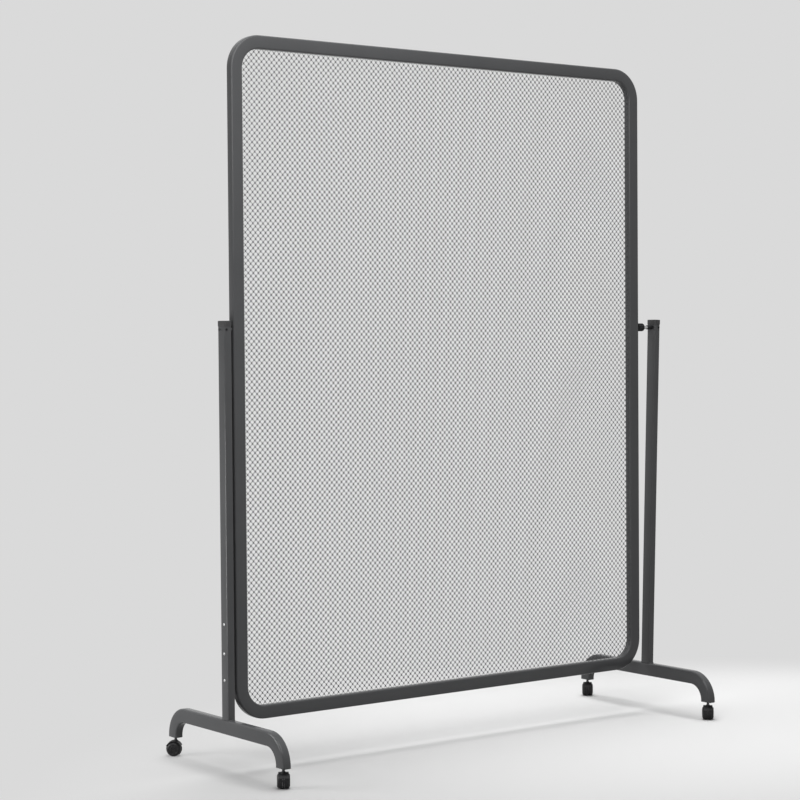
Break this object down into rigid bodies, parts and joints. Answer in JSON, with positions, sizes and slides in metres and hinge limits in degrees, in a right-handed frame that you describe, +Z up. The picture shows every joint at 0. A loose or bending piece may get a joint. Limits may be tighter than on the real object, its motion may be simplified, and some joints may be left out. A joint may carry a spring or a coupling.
{
  "type": "mesh room divider",
  "caption": "Mobile mesh room divider: tall steel mesh screen in a rounded tube frame, turning between two short posts on bent tube feet with castors",
  "frame": {"origin": "on the floor, midway between the two posts and in the plane of the screen", "axes": "X along the screen, Y from front to back, Z up"},
  "size_m": [1.3131, 0.4817, 1.608],
  "materials": {
    "frame_paint": "satin",
    "mesh_paint": "satin",
    "black_plastic": "matte",
    "wheel_plastic": "satin",
    "grey_plastic": "matte",
    "dark_steel": "satin",
    "zinc_steel": "satin"
  },
  "bodies": {
    "stand": {"left_post": "frame_paint", "right_post": "frame_paint", "left_post_cap": "grey_plastic", "right_post_cap": "grey_plastic", "left_foot": "frame_paint", "right_foot": "frame_paint", "left_front_leg_plug": "black_plastic", "left_rear_leg_plug": "black_plastic", "right_front_leg_plug": "black_plastic", "right_rear_leg_plug": "black_plastic", "left_pivot_bolt": "zinc_steel", "right_pivot_bolt": "zinc_steel", "left_pivot_spacer": "dark_steel", "right_clamp_knob": "black_plastic"},
    "panel": {"panel_frame": "frame_paint", "mesh_rising_strands": "mesh_paint", "mesh_falling_strands": "mesh_paint", "left_pivot_bush": "dark_steel", "right_pivot_bush": "dark_steel"},
    "left_front_castor": {"left_front_castor_hood": "black_plastic", "left_front_castor_stem": "dark_steel"},
    "left_front_wheels": {"left_front_castor_wheels": "wheel_plastic"},
    "left_rear_castor": {"left_rear_castor_hood": "black_plastic", "left_rear_castor_stem": "dark_steel"},
    "left_rear_wheels": {"left_rear_castor_wheels": "wheel_plastic"},
    "right_front_castor": {"right_front_castor_hood": "black_plastic", "right_front_castor_stem": "dark_steel"},
    "right_front_wheels": {"right_front_castor_wheels": "wheel_plastic"},
    "right_rear_castor": {"right_rear_castor_hood": "black_plastic", "right_rear_castor_stem": "dark_steel"},
    "right_rear_wheels": {"right_rear_castor_wheels": "wheel_plastic"}
  },
  "joints": [
    {"name": "panel_tilt", "type": "hinge", "parent": "stand", "child": "panel", "pos_m": [-0.01546, 0, 0.966], "axis": [1, 0, 0], "continuous": true},
    {"name": "left_front_castor_swivel", "type": "hinge", "parent": "stand", "child": "left_front_castor", "pos_m": [-0.63196, -0.215, 0.0365], "axis": [0, 0, 1], "continuous": true},
    {"name": "left_front_castor_roll", "type": "hinge", "parent": "left_front_castor", "child": "left_front_wheels", "pos_m": [-0.62979, -0.21164, 0.0165], "axis": [-0.8387, 0.5446, 0], "continuous": true},
    {"name": "left_rear_castor_swivel", "type": "hinge", "parent": "stand", "child": "left_rear_castor", "pos_m": [-0.63196, 0.227, 0.0365], "axis": [0, 0, 1], "continuous": true},
    {"name": "left_rear_castor_roll", "type": "hinge", "parent": "left_rear_castor", "child": "left_rear_wheels", "pos_m": [-0.63503, 0.22957, 0.0165], "axis": [-0.6428, -0.766, 0], "continuous": true},
    {"name": "right_front_castor_swivel", "type": "hinge", "parent": "stand", "child": "right_front_castor", "pos_m": [0.6183, -0.215, 0.0365], "axis": [0, 0, 1], "continuous": true},
    {"name": "right_front_castor_roll", "type": "hinge", "parent": "right_front_castor", "child": "right_front_wheels", "pos_m": [0.62103, -0.21208, 0.0165], "axis": [-0.7314, 0.682, 0], "continuous": true},
    {"name": "right_rear_castor_swivel", "type": "hinge", "parent": "stand", "child": "right_rear_castor", "pos_m": [0.6183, 0.227, 0.0365], "axis": [0, 0, 1], "continuous": true},
    {"name": "right_rear_castor_roll", "type": "hinge", "parent": "right_rear_castor", "child": "right_rear_wheels", "pos_m": [0.62092, 0.23002, 0.0165], "axis": [-0.7547, 0.6561, 0], "continuous": true}
  ]
}
